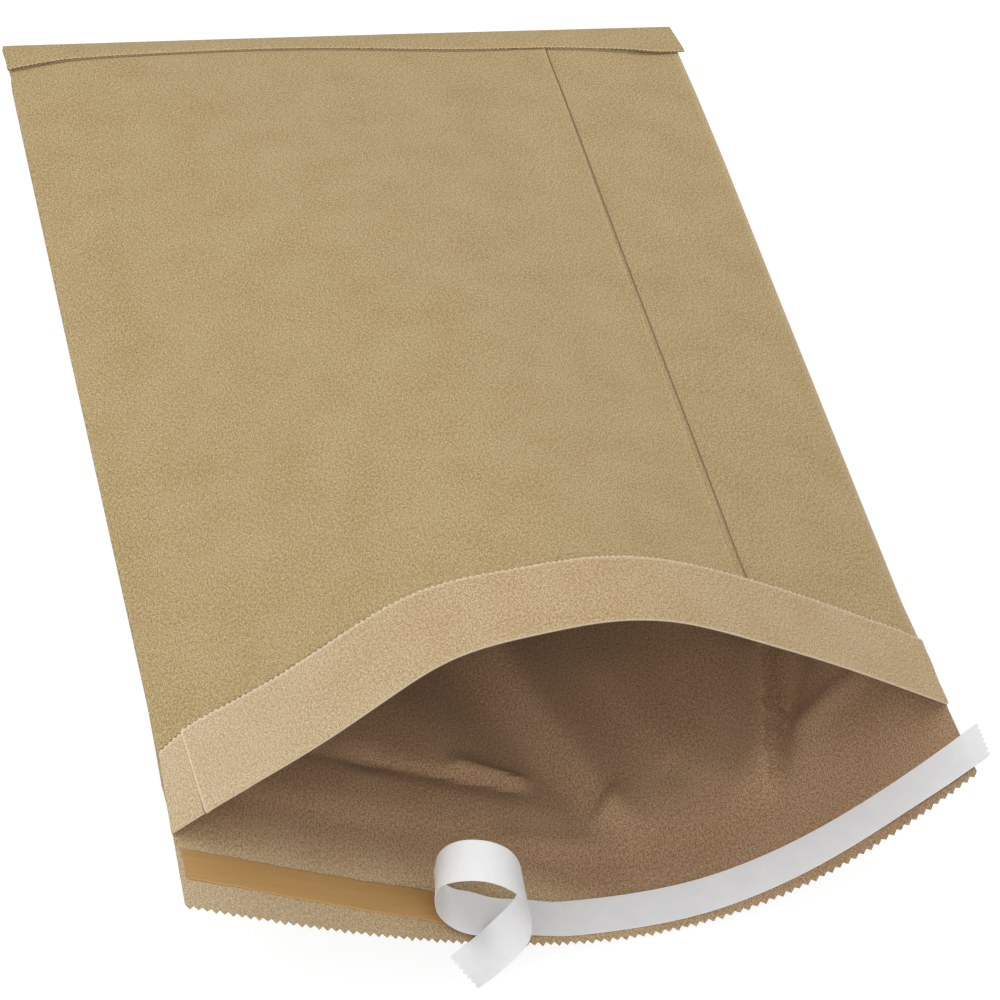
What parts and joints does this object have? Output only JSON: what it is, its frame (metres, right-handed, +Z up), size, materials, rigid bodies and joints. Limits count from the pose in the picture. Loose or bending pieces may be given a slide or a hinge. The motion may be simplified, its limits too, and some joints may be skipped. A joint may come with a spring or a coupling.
{
  "type": "padded envelope",
  "caption": "Open padded kraft mailing envelope with a hemmed end, a cuffed mouth and a closing flap with an adhesive strip and a half-peeled release liner.",
  "frame": {"origin": "centre of the underside's bounding box, on the surface the envelope lies on", "axes": "+X across the envelope to the right as seen from the mouth, +Y from the mouth to the closed end, +Z up through the front panel"},
  "size_m": [0.321, 0.5168, 0.1319],
  "materials": {
    "outer_kraft": "matte natural kraft",
    "inner_kraft": "matte recycled kraft",
    "paper_fibre": "loose shredded fibre",
    "adhesive": "satin hot-melt film",
    "liner_paper": "smooth silicone-coated"
  },
  "bodies": {
    "root": {"outer_ply": "outer_kraft", "inner_ply": "inner_kraft", "fibre_padding": "paper_fibre", "adhesive_strip": "adhesive", "release_liner": "liner_paper"}
  },
  "joints": []
}
